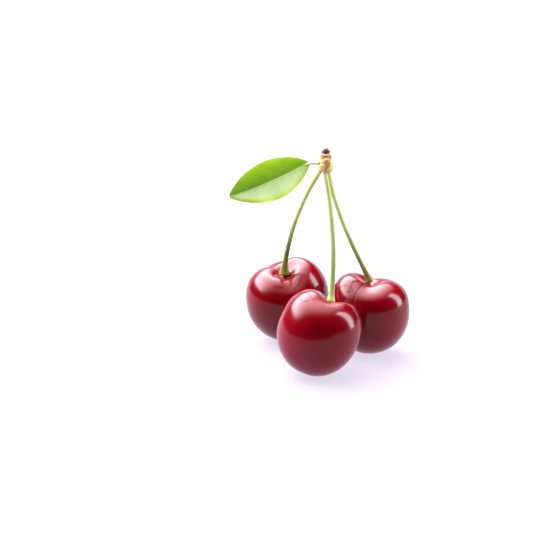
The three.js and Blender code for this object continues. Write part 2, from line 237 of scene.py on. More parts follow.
def turned_to(points, axis):
    """Points leaned over so that what pointed up points along axis."""
    lean = Vector(UP).rotation_difference(Vector(axis)).to_matrix()
    return points @ np.array(lean).T


def lofted(name, points, marks):
    """A closed mesh over rows of points, each row a ring, with a fan over each end. marks holds named values
    or vectors for the material, one for each point."""
    rows, columns = points.shape[:2]
    near, far = rows * columns, rows * columns + 1
    faces = []
    for row in range(rows - 1):
        for column in range(columns):
            after = (column + 1) % columns
            here, above = row * columns, (row + 1) * columns
            faces.append((here + column, here + after, above + after, above + column))
    for column in range(columns):
        after = (column + 1) % columns
        last = (rows - 1) * columns
        faces.append((near, after, column))
        faces.append((far, last + column, last + after))

    def with_ends(values):
        flat = values.reshape(rows * columns, -1)
        return np.vstack([flat, values[0].mean(axis=0), values[-1].mean(axis=0)])

    mesh = bpy.data.meshes.new(name)
    mesh.from_pydata((with_ends(points) * MM).tolist(), [], faces)
    for mark, values in marks.items():
        is_vector = values.ndim == 3
        attribute = mesh.attributes.new(mark, "FLOAT_VECTOR" if is_vector else "FLOAT", "POINT")
        attribute.data.foreach_set("vector" if is_vector else "value", with_ends(values).ravel())
    skin = bmesh.new()
    skin.from_mesh(mesh)
    bmesh.ops.recalc_face_normals(skin, faces=skin.faces)
    skin.to_mesh(mesh)
    skin.free()
    mesh.shade_smooth()
    piece = bpy.data.objects.new(name, mesh)
    bpy.context.scene.collection.objects.link(piece)
    return piece


def settle(piece, node, material):
    """Gives the piece its material, hangs it under the root body and hides the frame node that it stands for.
    """
    piece.data.materials.append(material)
    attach(piece, "root")
    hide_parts(node)


def middle_of(node):
    """The middle of a frame node's box."""
    low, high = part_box(node)
    return np.array((low + high) / 2) / MM


# ---------------------------------------------------------------- colour and material helpers


def linear(colour):
    """An sRGB hex colour as the linear values that the shaders take."""
    shares = [int(colour[i : i + 2], 16) / 255 for i in (0, 2, 4)]
    return [s / 12.92 if s <= 0.04045 else ((s + 0.055) / 1.055) ** 2.4 for s in shares] + [1.0]


def per(size):
    """The scale of a pattern whose cells are this many millimetres across."""
    return 1 / (size * MM)


def add(tree, kind, inputs=None, stops=None, **settings):
    """Adds a node with its settings, its inputs as values or links, and a colour ramp's stops."""
    node = tree.nodes.new(kind)
    for name, value in settings.items():
        setattr(node, name, value)
    for name, value in (inputs or {}).items():
        if isinstance(value, bpy.types.NodeSocket):
            tree.links.new(value, node.inputs[name])
        else:
            node.inputs[name].default_value = value
    for i, (place, colour) in enumerate(stops or []):
        ramp = node.color_ramp.elements
        stop = ramp[i] if i < 2 else ramp.new(place)
        stop.position = place
        stop.color = linear(colour)
    return node


# Sockets of the Mix node when it mixes colours.
SHARE, FROM, TO, MIXED = 0, 6, 7, 2


def new_material(name):
    """An empty material and its node tree."""
    material = bpy.data.materials.new(name)
    material.use_nodes = True
    material.node_tree.nodes.clear()
    return material, material.node_tree


def finish_with(tree, shader):
    add(tree, "ShaderNodeOutputMaterial", {"Surface": shader.outputs[0]})


def ripe_cherry_skin():
    """Sweet cherry skin, grown and ripe: a thin clear cuticle over flesh that is nearly black-red. The
    cuticle gives hard window lights, and the flesh under it glows red only where light enters steeply."""
    material, tree = new_material("ripe_cherry_skin")
    place = add(tree, "ShaderNodeTexCoord").outputs["Object"]
    cavity = add(tree, "ShaderNodeAttribute", attribute_name="cavity").outputs["Fac"]
    crease = add(tree, "ShaderNodeAttribute", attribute_name="crease").outputs["Fac"]
    tip = add(tree, "ShaderNodeAttribute", attribute_name="tip").outputs["Fac"]
    floor_glow = add(tree, "ShaderNodeAttribute", attribute_name="floor_glow").outputs["Fac"]
    # Flesh ripens in clouds about 6 mm across, hardly different in so ripe a fruit.
    clouds = add(
        tree, "ShaderNodeTexNoise", {"Vector": place, "Scale": per(6), "Detail": 3.0, "Roughness": 0.55},
    )
    flesh = add(
        tree, "ShaderNodeValToRGB", {"Fac": clouds.outputs[0]},
        stops=[(0.3, "60000a"), (0.7, "6c010c")],
    )
    # Painted floor light: the half towards the tip is painted pinker and bluer, as the light that the bright
    # floor throws up onto the lower half.
    floor_lit_flesh = add(
        tree, "ShaderNodeMix",
        {SHARE: floor_glow, FROM: flesh.outputs[0], TO: linear("7c002a")},
        data_type="RGBA",
    )
    # Breathing pores: pale dots 0.25 mm across, about 1.3 mm apart.
    pores = add(tree, "ShaderNodeTexVoronoi", {"Vector": place, "Scale": per(1.3), "Randomness": 0.9})
    dots = add(
        tree, "ShaderNodeMapRange",
        {
            "Value": pores.outputs["Distance"], "From Min": 0.06, "From Max": 0.14, "To Min": 0.12,
            "To Max": 0.0,
        },
    )
    dotted = add(
        tree, "ShaderNodeMix",
        {SHARE: dots.outputs[0], FROM: floor_lit_flesh.outputs[MIXED], TO: linear("a02030")},
        data_type="RGBA",
    )
    # Skin is thinner and redder down in the cavity.
    hollow = add(
        tree, "ShaderNodeMapRange", {"Value": cavity, "From Min": 0.4, "From Max": 1.0, "To Max": 0.4},
    )
    reddened = add(
        tree, "ShaderNodeMix",
        {SHARE: hollow.outputs[0], FROM: dotted.outputs[MIXED], TO: linear("8a1218")},
        data_type="RGBA",
    )
    # Painted shade: the crease is painted nearly black-red along its groove.
    crease_shaded = add(
        tree, "ShaderNodeMix",
        {SHARE: crease, FROM: reddened.outputs[MIXED], TO: linear("3a0208")},
        data_type="RGBA",
    )
    scarred = add(
        tree, "ShaderNodeMix",
        {SHARE: tip, FROM: crease_shaded.outputs[MIXED], TO: linear("9a6a48")},
        data_type="RGBA",
    )
    # Wax lies in patches about 3 mm across, a little duller than the bare cuticle.
    wax = add(tree, "ShaderNodeTexNoise", {"Vector": place, "Scale": per(3), "Detail": 4.0})
    gloss = add(tree, "ShaderNodeMapRange", {"Value": wax.outputs[0], "To Min": 0.15, "To Max": 0.21})
    # The cells under the cuticle ripple it. They are drawn 0.7 mm across, coarser than they are, so that
    # they show.
    cells = add(tree, "ShaderNodeTexNoise", {"Vector": place, "Scale": per(0.7), "Detail": 2.0})
    relief = add(
        tree, "ShaderNodeBump", {"Height": cells.outputs[0], "Strength": 0.35, "Distance": 0.02 * MM},
    )
    shader = add(
        tree, "ShaderNodeBsdfPrincipled",
        {
            "Base Color": scarred.outputs[MIXED],
            "Roughness": gloss.outputs[0],
            "Normal": relief.outputs[0],
            "IOR": 1.32,
            "Subsurface Weight": 0.1,
            "Subsurface Radius": (1.0, 0.12, 0.1),
            "Subsurface Scale": 2 * MM,
            "Coat Weight": 0.14,
            "Coat Roughness": 0.05,
            "Coat IOR": 1.4,
        },
    )
    finish_with(tree, shader)
    return material


# From where a stalk leaves the spur, at 0, to its foot, at 1. A ramp's first two stops are its ends. The
# darker stretch low on each ramp, darkest on the left stalk, is painted shade; the rest is each stalk's own
# green.
STALK_GREENS_AND_SHADE = {
    "left": [
        (0.0, "e2e8a0"), (1.0, "bcc66a"), (0.1, "ccd884"),
        (0.45, "b8c878"), (0.78, "5c6b24"), (0.94, "7c8c2a"),
    ],
    "front": [
        (0.0, "d6dc94"), (1.0, "cad286"), (0.1, "b8c47a"),
        (0.45, "93ac62"), (0.8, "72923e"), (0.94, "9eb060"),
    ],
    "right": [
        (0.0, "e2e8a0"), (1.0, "b9b868"), (0.1, "d0dc8c"),
        (0.45, "c6d68c"), (0.8, "98a44c"), (0.95, "857e3e"),
    ],
}
# The leaf stalk is painted near-white cream, as light shining through it from behind.
LEAF_STALK_GLOW = [(0.0, "f2f2c0"), (1.0, "dcec9c"), (0.5, "f6facc")]


def green_stalk(name, stops):
    """Living green cherry stalk, ribbed as it grew: satin, with fibres along it that stretch its lights and
    brown flecks where it was rubbed."""
    material, tree = new_material(name)
    straight = add(tree, "ShaderNodeAttribute", attribute_name="straight").outputs["Vector"]
    along = add(tree, "ShaderNodeAttribute", attribute_name="along").outputs["Fac"]
    rim = add(tree, "ShaderNodeAttribute", attribute_name="rim").outputs["Fac"]
    green = add(tree, "ShaderNodeValToRGB", {"Fac": along}, stops=stops)
    # Fibres 0.35 mm apart that run for about 6 mm.
    drawn_out = add(tree, "ShaderNodeMapping", {"Vector": straight, "Scale": (1, 1, 0.06)})
    fibres = add(
        tree, "ShaderNodeTexNoise",
        {"Vector": drawn_out.outputs[0], "Scale": per(0.35), "Detail": 3.0, "Roughness": 0.6},
    )
    shade = add(
        tree, "ShaderNodeMapRange",
        {"Value": fibres.outputs[0], "From Min": 0.3, "From Max": 0.7, "To Max": 0.5},
    )
    striped = add(
        tree, "ShaderNodeMix",
        {SHARE: shade.outputs[0], FROM: green.outputs[0], TO: linear("6f8434")},
        data_type="RGBA",
    )
    # Flecks about 0.4 mm wide and 1 mm long, one here and there in a pattern of 1.1 mm.
    short = add(tree, "ShaderNodeMapping", {"Vector": straight, "Scale": (1, 1, 0.45)})
    rubs = add(tree, "ShaderNodeTexNoise", {"Vector": short.outputs[0], "Scale": per(1.1), "Detail": 2.5})
    flecks = add(
        tree, "ShaderNodeMapRange",
        {"Value": rubs.outputs[0], "From Min": 0.66, "From Max": 0.74, "To Max": 0.7},
    )
    flecked = add(
        tree, "ShaderNodeMix",
        {SHARE: flecks.outputs[0], FROM: striped.outputs[MIXED], TO: linear("8a6a3a")},
        data_type="RGBA",
    )
    browned = add(
        tree, "ShaderNodeMix",
        {SHARE: rim, FROM: flecked.outputs[MIXED], TO: linear("8c6a34")},
        data_type="RGBA",
    )
    relief = add(
        tree, "ShaderNodeBump", {"Height": fibres.outputs[0], "Strength": 0.5, "Distance": 0.06 * MM},
    )
    shader = add(
        tree, "ShaderNodeBsdfPrincipled",
        {
            "Base Color": browned.outputs[MIXED],
            "Roughness": 0.42,
            "Normal": relief.outputs[0],
            "IOR": 1.42,
            "Subsurface Weight": 0.2,
            "Subsurface Radius": (0.7, 1.0, 0.25),
            "Subsurface Scale": 0.6 * MM,
        },
    )
    finish_with(tree, shader)
    return material


def ringed_spur_bark():
    """Young cherry bark on a fruiting spur, ringed where each year's scales fell: dull and corky, straw
    yellow low down where it still grows, brown in the grooves and under the bud."""
    material, tree = new_material("ringed_spur_bark")
    place = add(tree, "ShaderNodeTexCoord").outputs["Object"]
    rise = add(tree, "ShaderNodeAttribute", attribute_name="rise").outputs["Fac"]
    groove = add(tree, "ShaderNodeAttribute", attribute_name="groove").outputs["Fac"]
    knob = add(tree, "ShaderNodeAttribute", attribute_name="knob").outputs["Fac"]
    bark = add(
        tree, "ShaderNodeValToRGB", {"Fac": rise},
        stops=[
            (0.0, "6e6426"), (1.0, "c29a78"), (0.14, "d2c268"),
            (0.6, "e8da82"), (0.76, "b98f42"), (0.9, "8e6430"),
        ],
    )
    # Corky grains about 0.5 mm across.
    grain = add(
        tree, "ShaderNodeTexNoise", {"Vector": place, "Scale": per(0.5), "Detail": 5.0, "Roughness": 0.7},
    )
    worn = add(
        tree, "ShaderNodeMapRange",
        {"Value": grain.outputs[0], "From Min": 0.48, "From Max": 0.75, "To Max": 0.6},
    )
    cork = add(
        tree, "ShaderNodeMix",
        {SHARE: worn.outputs[0], FROM: bark.outputs[0], TO: linear("a8883e")},
        data_type="RGBA",
    )
    grooved = add(
        tree, "ShaderNodeMix",
        {SHARE: groove, FROM: cork.outputs[MIXED], TO: linear("5e451c")},
        data_type="RGBA",
    )
    knobbed = add(
        tree, "ShaderNodeMix",
        {SHARE: knob, FROM: grooved.outputs[MIXED], TO: linear("b07a34")},
        data_type="RGBA",
    )
    relief = add(
        tree, "ShaderNodeBump", {"Height": grain.outputs[0], "Strength": 0.7, "Distance": 0.1 * MM},
    )
    shader = add(
        tree, "ShaderNodeBsdfPrincipled",
        {"Base Color": knobbed.outputs[MIXED], "Roughness": 0.62, "Normal": relief.outputs[0]},
    )
    finish_with(tree, shader)
    return material


def papery_bud_scale():
    """Old bud scale, thick and fibrous, swollen where the stalks grow out under it: straw yellow with
    pinkish-brown ends and a dull sheen."""
    material, tree = new_material("papery_bud_scale")
    straight = add(tree, "ShaderNodeAttribute", attribute_name="straight").outputs["Vector"]
    edge = add(tree, "ShaderNodeAttribute", attribute_name="edge").outputs["Fac"]
    # Fibres 0.3 mm apart that run up the scale.
    drawn_out = add(tree, "ShaderNodeMapping", {"Vector": straight, "Scale": (1, 1, 0.15)})
    fibres = add(
        tree, "ShaderNodeTexNoise", {"Vector": drawn_out.outputs[0], "Scale": per(0.3), "Detail": 3.0},
    )
    straw = add(
        tree, "ShaderNodeValToRGB", {"Fac": fibres.outputs[0]},
        stops=[(0.3, "b39a48"), (0.7, "e6d68a"), (0.5, "d6c06a")],
    )
    edged = add(
        tree, "ShaderNodeMix",
        {SHARE: edge, FROM: straw.outputs[0], TO: linear("86603c")},
        data_type="RGBA",
    )
    relief = add(
        tree, "ShaderNodeBump", {"Height": fibres.outputs[0], "Strength": 0.6, "Distance": 0.06 * MM},
    )
    shader = add(
        tree, "ShaderNodeBsdfPrincipled",
        {"Base Color": edged.outputs[MIXED], "Roughness": 0.6, "Normal": relief.outputs[0]},
    )
    finish_with(tree, shader)
    return material


def resinous_bud():
    """Closed cherry bud, its scales glued with resin: dark maroon with a satin shine and tan fringes."""
    material, tree = new_material("resinous_bud")
    place = add(tree, "ShaderNodeTexCoord").outputs["Object"]
    edge = add(tree, "ShaderNodeAttribute", attribute_name="edge").outputs["Fac"]
    # Resin lies in patches about 0.5 mm across.
    resin = add(tree, "ShaderNodeTexNoise", {"Vector": place, "Scale": per(0.5), "Detail": 3.0})
    maroon = add(
        tree, "ShaderNodeValToRGB", {"Fac": resin.outputs[0]},
        stops=[(0.3, "2c0a0c"), (0.7, "551a1a")],
    )
    fringed = add(
        tree, "ShaderNodeMix",
        {SHARE: edge, FROM: maroon.outputs[0], TO: linear("7c4630")},
        data_type="RGBA",
    )
    gloss = add(tree, "ShaderNodeMapRange", {"Value": resin.outputs[0], "To Min": 0.42, "To Max": 0.6})
    shader = add(
        tree, "ShaderNodeBsdfPrincipled",
        {"Base Color": fringed.outputs[MIXED], "Roughness": gloss.outputs[0]},
    )
    finish_with(tree, shader)
    return material


def waxy_young_leaf():
    """Young cherry leaf, thin and waxed by its own cuticle: yellow-green with pale veins, painted darker
    along the midrib as shade in the fold and lighter at the margin as light through it. The half that lies
    flatter is painted pale grey-green as a reflection of the light above, and light from behind comes through
    the blade."""
    material, tree = new_material("waxy_young_leaf")
    straight = add(tree, "ShaderNodeAttribute", attribute_name="straight").outputs["Vector"]
    vein = add(tree, "ShaderNodeAttribute", attribute_name="vein").outputs["Fac"]
    midrib = add(tree, "ShaderNodeAttribute", attribute_name="midrib").outputs["Fac"]
    out = add(tree, "ShaderNodeAttribute", attribute_name="out").outputs["Fac"]
    painted_sheen = add(tree, "ShaderNodeAttribute", attribute_name="painted_sheen").outputs["Fac"]
    # Painted shade and light: the blade is painted darkest beside the midrib, as shade in the fold, and
    # lightest and yellowest at the margin, as light shining through it.
    green = add(
        tree, "ShaderNodeValToRGB", {"Fac": out},
        stops=[(0.0, "4f7c08"), (1.0, "c4dc5a"), (0.1, "80a80a"), (0.5, "9cc212"), (0.85, "b4d424")],
    )
    # Tissue varies in patches about 2.5 mm across, drawn out along the side veins.
    patches = add(
        tree, "ShaderNodeTexNoise", {"Vector": straight, "Scale": per(2.5), "Detail": 4.0, "Roughness": 0.6},
    )
    deep = add(
        tree, "ShaderNodeMapRange",
        {"Value": patches.outputs[0], "From Min": 0.45, "From Max": 0.72, "To Max": 0.4},
    )
    mottled = add(
        tree, "ShaderNodeMix",
        {SHARE: deep.outputs[0], FROM: green.outputs[0], TO: linear("6c9c0a")},
        data_type="RGBA",
    )
    # A net of the finest veins, about 0.6 mm from one to the next.
    net = add(
        tree, "ShaderNodeTexVoronoi", {"Vector": straight, "Scale": per(0.6)}, feature="DISTANCE_TO_EDGE",
    )
    threads = add(
        tree, "ShaderNodeMapRange",
        {"Value": net.outputs["Distance"], "From Max": 0.12, "To Min": 0.25, "To Max": 0.0},
    )
    netted = add(
        tree, "ShaderNodeMix",
        {SHARE: threads.outputs[0], FROM: mottled.outputs[MIXED], TO: linear("a8c850")},
        data_type="RGBA",
    )
    # The painted sheen is broken up in places about 1.2 mm across.
    wiped = add(tree, "ShaderNodeTexNoise", {"Vector": straight, "Scale": per(1.2), "Detail": 3.0})
    sheen_left = add(
        tree, "ShaderNodeMapRange",
        {"Value": wiped.outputs[0], "From Min": -0.5, "From Max": 0.6, "To Max": painted_sheen},
    )
    sheen_painted = add(
        tree, "ShaderNodeMix",
        {SHARE: sheen_left.outputs[0], FROM: netted.outputs[MIXED], TO: linear("bcd49a")},
        data_type="RGBA",
    )
    veined = add(
        tree, "ShaderNodeMix",
        {SHARE: vein, FROM: sheen_painted.outputs[MIXED], TO: linear("c2dc80")},
        data_type="RGBA",
    )
    ribbed = add(
        tree, "ShaderNodeMix",
        {SHARE: midrib, FROM: veined.outputs[MIXED], TO: linear("dcecac")},
        data_type="RGBA",
    )
    relief = add(
        tree, "ShaderNodeBump", {"Height": net.outputs["Distance"], "Strength": 0.3, "Distance": 0.05 * MM},
    )
    wax = add(
        tree, "ShaderNodeBsdfPrincipled",
        {
            "Base Color": ribbed.outputs[MIXED],
            "Roughness": 0.4,
            "Normal": relief.outputs[0],
            "IOR": 1.45,
            "Coat Weight": 0.4,
            "Coat Roughness": 0.28,
        },
    )
    through = add(tree, "ShaderNodeBsdfTranslucent", {"Color": ribbed.outputs[MIXED]})
    shader = add(tree, "ShaderNodeMixShader", {0: 0.5, 1: wax.outputs[0], 2: through.outputs[0]})
    finish_with(tree, shader)
    return material


def opal_acrylic_table():
    """Opal acrylic sheet, cast and matted, lit from below as on a product table: it keeps every shadow pale
    and gives the undersides of the fruits their mauve."""
    material, tree = new_material("opal_acrylic_table")
    place = add(tree, "ShaderNodeTexCoord").outputs["Object"]
    # The matting is uneven over about 4 mm.
    haze = add(tree, "ShaderNodeTexNoise", {"Vector": place, "Scale": per(4), "Detail": 2.0})
    shade = add(
        tree, "ShaderNodeValToRGB", {"Fac": haze.outputs[0]},
        stops=[(0.3, "545258"), (0.7, "57555b")],
    )
    shader = add(
        tree, "ShaderNodeBsdfPrincipled",
        {
            "Base Color": shade.outputs[0],
            "Roughness": 0.7,
            "Specular IOR Level": 0.2,
            "Emission Color": linear("e7e0ed"),
            "Emission Strength": 0.87,
        },
    )
    finish_with(tree, shader)
    return material


# ---------------------------------------------------------------- cherries


def cherry_axis(cherry):
    """Which way the stalk end of the cherry points."""
    slope, bearing = math.radians(cherry["lean"]), math.radians(cherry["lean_to"])
    return np.array([
        math.sin(slope) * math.cos(bearing), math.sin(slope) * math.sin(bearing), math.cos(slope),
    ])


def skin_reach(cherry, down, around):
    """Distance from the cherry's centre to its skin. down is the angle from the stalk end, and around the
    angle from the notch."""
    sine, cosine = np.sin(np.radians(down)), np.cos(np.radians(down))
    cheek = np.sin(np.radians(around))
    face = np.cos(np.radians(around))
    girth = 1 / np.hypot(face / (cherry["thickness"] / 2), cheek / (cherry["width"] / 2))
    above = down < 90
    rise = cherry["height"] * np.where(above, WAIST_SHARE, 1 - WAIST_SHARE)
    fullness = np.where(above, cherry["fullness"], TIP_FULLNESS)
    body = ((sine / girth) ** fullness + (np.abs(cosine) / rise) ** fullness) ** (-1 / fullness)
    shoulder = bell(down - SHOULDER_AT, SHOULDER_SPREAD)
    return (
        body
        * (1 - cherry["cavity"] * bell(down, CAVITY_SPREAD, CAVITY_SHARPNESS))
        * (1 - NOTCH_DEPTH * bell(turn(around), NOTCH_SPREAD) * shoulder)
        * (1 - BACK_DIP * bell(turn(around - 180), NOTCH_SPREAD) * shoulder)
        * (1 + (LOBE_RISE * cheek**2 + cherry["lopsided"] * cheek) * shoulder)
        * (1 - TIP_DIMPLE * bell(180 - down, TIP_DIMPLE_SPREAD))
    )


def make_cherry(side, material):
    """One ripe cherry with its stalk cavity, notch, crease and tip scar. Returns its centre."""
    cherry = CHERRIES[side]
    lap = np.linspace(0, 2 * math.pi, SKIN_COLUMNS, endpoint=False)
    around = np.degrees(lap - CREASE_CROWDING * np.sin(lap)) + cherry["crease_at"]
    down = POLE_GAP + (180 - 2 * POLE_GAP) * np.linspace(0, 1, SKIN_ROWS) ** ROW_CROWDING
    down, around = np.meshgrid(down, around, indexing="ij")
    off_crease = turn(around - cherry["crease_at"])
    # The crease fades in over the cavity's rim and out again below the waist.
    crease = bell(off_crease, CREASE_SPREAD) * bell(down - CREASE_MIDDLE, CREASE_REACH, 3)
    bearing = np.radians(around + cherry["suture_to"])
    sine, cosine = np.sin(np.radians(down)), np.cos(np.radians(down))
    way = np.stack([sine * np.cos(bearing), sine * np.sin(bearing), cosine], axis=-1)
    reach = skin_reach(cherry, down, around)
    # Puckers stand unevenly round the cavity's rim.
    uneven = PUCKER_UNEVENNESS * np.sin(np.radians(around * 2))
    pucker = np.cos(np.radians(around * PUCKER_COUNT + uneven)) * bell(down - CAVITY_SPREAD, PUCKER_SPREAD)
    # The skin is drawn smooth down into the cavity.
    calm = 1 - CALM_SHARE * bell(down, CALM_SPREAD, 3)
    ball = way * SKIN_BALL
    reach = (
        reach
        - CREASE_DEPTH * crease
        - PUCKER_DEPTH * pucker
        + SWELL_RISE * calm * swell(ball, SWELL_SIZE, cherry["seed"])
        + SWELL_RISE / 8 * calm * swell(ball, RIPPLE_SIZE, cherry["seed"] + 1)
    )
    points = turned_to(way * reach[..., None], cherry_axis(cherry))
    centre_z = -points[..., 2].min() - TABLE_DENT
    low, high = points.reshape(-1, 3).min(axis=0), points.reshape(-1, 3).max(axis=0)
    centre = middle_of(f"cherry_{side}") - (low + high) / 2
    centre[2] = centre_z
    points = points + centre
    points[..., 2] = np.maximum(points[..., 2], 0)
    marks = {
        "cavity": bell(down, CAVITY_SPREAD * 1.1, CAVITY_SHARPNESS),
        # the crease mark also draws the painted shade along the groove
        "crease": 0.8 * crease,
        "tip": bell(180 - down, TIP_SCAR_SPREAD, 3),
        # painted floor light on the half towards the tip
        "floor_glow": 0.7 * bell(180 - down, FLOOR_GLOW_SPREAD, 5),
    }
    settle(lofted(f"{side}_cherry", points, marks), f"cherry_{side}", material)
    return centre


# ---------------------------------------------------------------- rods that follow a curve


def bezier(corners, shares):
    """Points on the Bezier curve of these corners."""
    degree = len(corners) - 1
    total = 0
    for i, corner in enumerate(corners):
        weight = math.comb(degree, i) * shares**i * (1 - shares) ** (degree - i)
        total = total + weight[:, None] * np.array(corner)
    return total


def measured(corners, fine=600):
    """A Bezier curve as many points, with the distance along it to each."""
    line = bezier(corners, np.linspace(0, 1, fine))
    steps = np.linalg.norm(np.diff(line, axis=0), axis=1)
    return line, np.concatenate([[0], np.cumsum(steps)])


def rod(corners, along, radius_at, sides):
    """Rings of points round a curve at these distances along it, and the same rings on a straight rod.
    radius_at gives the radius for the distance along it and the angle round it."""
    line, distance = measured(corners)
    spine = np.stack([np.interp(along, distance, line[:, i]) for i in range(3)], axis=-1)
    heading = np.gradient(line, distance, axis=0)
    forward = np.stack([np.interp(along, distance, heading[:, i]) for i in range(3)], axis=-1)
    forward /= np.linalg.norm(forward, axis=1)[:, None]
    side = np.zeros_like(forward)
    last = np.cross(forward[0], [0.0, 1.0, 0.0])
    for i, ahead in enumerate(forward):
        last = unit(last - ahead * (last @ ahead))
        side[i] = last
    other = np.cross(forward, side)
    angle = np.linspace(0, 2 * math.pi, sides, endpoint=False)
    far, round_ = np.meshgrid(along, angle, indexing="ij")
    radius = radius_at(far, round_)
    x, y = radius * np.cos(round_), radius * np.sin(round_)
    points = spine[:, None] + x[..., None] * side[:, None] + y[..., None] * other[:, None]
    return points, np.stack([x, y, far], axis=-1) * MM


def nearest_to_axis(node, centre, axis):
    """The vertex of a frame node that lies nearest to a line."""
    vertices = np.array([v.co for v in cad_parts[node].data.vertices]) / MM
    off = vertices - centre
    away = np.linalg.norm(off - np.outer(off @ axis, axis), axis=1)
    return vertices[away.argmin()]


def make_stalk(side, cherry_centre, spur_foot, material):
    """The stalk that runs from the spur's underside down into one cherry's cavity."""
    stalk = STALKS[side]
    foot = nearest_to_axis(f"stalk_{side}", cherry_centre, cherry_axis(CHERRIES[side]))
    top = spur_foot + np.array([stalk["at"][0] * SPUR_RADIUS, stalk["at"][1] * SPUR_RADIUS, -JOIN_GAP])
    corners = [
        top, top + unit(stalk["out"]) * stalk["pull"], foot + unit(stalk["meets"]) * stalk["grip"], foot,
    ]
    length = measured(corners)[1][-1]
    seed = CHERRIES[side]["seed"]

    def radius_at(along, angle):
        to_foot = length - along
        flare = (stalk["foot"] - STALK_RADIUS) * bell(to_foot, stalk["flare"] / 2, 1.6)
        neck = (STALK_TOP_RADIUS - STALK_RADIUS) * bell(along, STALK_NECK)
        rounding = np.sqrt(np.clip(1 - np.clip(1 - to_foot / STALK_FOOT_ROUND, 0, 1) ** 2, 0.01, 1))
        top_round = np.sqrt(np.clip(1 - np.clip(1 - along / STALK_TOP_ROUND, 0, 1) ** 2, 0.3, 1))
        # Three shallow ribs that wind slowly, a groove, and rolled rims above the foot.
        off_groove = turn(np.degrees(angle) - 200 - along * STALK_GROOVE_TWIST)
        groove = STALK_GROOVE_DEPTH * bell(off_groove, 24)
        ribs = STALK_RIB_RISE * np.cos(3 * angle + along / 9) - groove
        rims = sum(rise * bell(to_foot - place, spread) for rise, place, spread in FOOT_RIMS)
        return (STALK_RADIUS + flare + neck) * rounding * top_round + ribs * rounding + rims

    # Rows crowd towards both ends, where the stalk's shape changes most.
    share = np.linspace(0, 1, STALK_ROWS)
    along = length * (0.5 - 0.5 * np.cos(math.pi * share))
    points, straight = rod(corners, along, radius_at, STALK_SIDES)
    wander = swell(points, 5, seed)[..., None] * STALK_WANDER
    points = points + wander * unit([1, 0.4, 0])
    far = straight[..., 2] / MM
    marks = {
        "straight": straight,
        "along": far / length,
        "rim": 0.75 * bell(length - far, 0.75, 3),
    }
    settle(lofted(f"{side}_stalk", points, marks), f"stalk_{side}", material)


# ---------------------------------------------------------------- spur, scales and bud


def make_spur(spur_foot, material):
    """The ringed barrel of the spur, with the knob of an old leaf scar on its front."""
    lap = np.linspace(0, 2 * math.pi, SPUR_SIDES, endpoint=False)
    share, angle = np.meshgrid(np.linspace(0, 1, SPUR_ROWS), lap, indexing="ij")
    height = share * SPUR_HEIGHT
    groove = np.zeros_like(share)
    for i, scar in enumerate(RING_SCARS):
        # No ring is level or of one width all round.
        dip = 0.16 * np.cos(angle - 2.3 * i) + 0.07 * np.sin(2 * angle + 1.7 * i)
        depth = 0.7 + 0.3 * np.cos(angle * 2 + 2.9 * i)
        groove = np.maximum(groove, depth * bell(height - scar - dip, RING_WIDTH, 1.6))
    barrel = np.interp(height, *zip(*SPUR_BARREL))
    around = np.stack([SPUR_MEAN_RADIUS * np.cos(angle), SPUR_MEAN_RADIUS * np.sin(angle), height], axis=-1)
    radius = barrel - RING_DEPTH * groove
    for rise, size, seed in SPUR_LUMPS:
        radius = radius + rise * swell(around, size, seed)
    edge = np.minimum(height, SPUR_HEIGHT - height)
    radius = radius * (1 - 0.25 * bell(edge, SPUR_EDGE_ROUND))
    x, y, z = radius * np.cos(angle), radius * np.sin(angle), height
    # The knob of an old leaf scar swells out of the front.
    off_x = (x - KNOB_AT[0]) / KNOB_SIZE[0]
    off_z = (z - KNOB_AT[1]) / KNOB_SIZE[2]
    dome = np.sqrt(np.clip(1 - off_x**2 - off_z**2, 0, 1)) * (y < 0)
    # A shallow pit lies near the middle of the knob.
    pit = 0.1 * bell(off_x + 0.1, 0.3) * bell(off_z + 0.1, 0.22) * dome
    y = y - KNOB_SIZE[1] * dome**0.8 + pit
    points = np.stack([x, y, z], axis=-1) + spur_foot
    marks = {
        "rise": share,
        "groove": np.clip(0.85 * groove, 0, 1) * (1 - dome),
        "knob": np.clip(dome * 1.4, 0, 1) * 0.9,
    }
    settle(lofted("ringed_spur", points, marks), "spur", material)


def wrapped_pad(bearing, half_angle, inside, thickness, height, shear, seed):
    """Rings across a plump scale that wraps an upright axis and narrows towards its rounded upper end. inside
    is the radius it lies on, at its lower and its upper end. Returns the rings, the same rings laid flat, and
    how near each point is to an end."""
    row = 0.5 - 0.5 * np.cos(np.linspace(0, math.pi, SCALE_ROWS))
    lap = np.sin(np.linspace(-math.pi / 2, math.pi / 2, SCALE_COLUMNS))
    out_and_back = np.concatenate([lap, lap[::-1]])
    up_share, across = np.meshgrid(row, out_and_back, indexing="ij")
    outer = np.broadcast_to(np.repeat([1.0, 0.0], SCALE_COLUMNS), across.shape)
    taper = np.sqrt(1 - 0.9 * up_share**2.4) * (1 - 0.12 * (1 - up_share) ** 6)
    angle = np.radians(bearing - half_angle * across * taper + shear * (up_share - 0.4))
    flat = np.stack([across * half_angle / 30, outer * 0, up_share * height], axis=-1)
    round_sides = np.clip(1 - np.abs(across) ** 2.6, 0, 1) ** 0.5
    plump = round_sides * np.clip(1 - np.abs(2 * up_share - 1) ** 3.4, 0, 1) ** 0.6
    on = inside[0] + (inside[1] - inside[0]) * up_share
    radius = on + outer * (SCALE_EDGE + thickness * plump * (1 + 0.12 * swell(flat, 0.7, seed)))
    z = up_share * height + 0.12 * (1 - up_share) * across * swell(flat, 2, seed)
    points = np.stack([radius * np.cos(angle), radius * np.sin(angle), z], axis=-1)
    end = np.maximum(bell(up_share, 0.3) * np.abs(across) ** 1.5, 0.6 * bell(up_share, 0.09))
    end = np.maximum(end, 0.4 * bell(1 - up_share, 0.07))
    return points, flat * MM, end


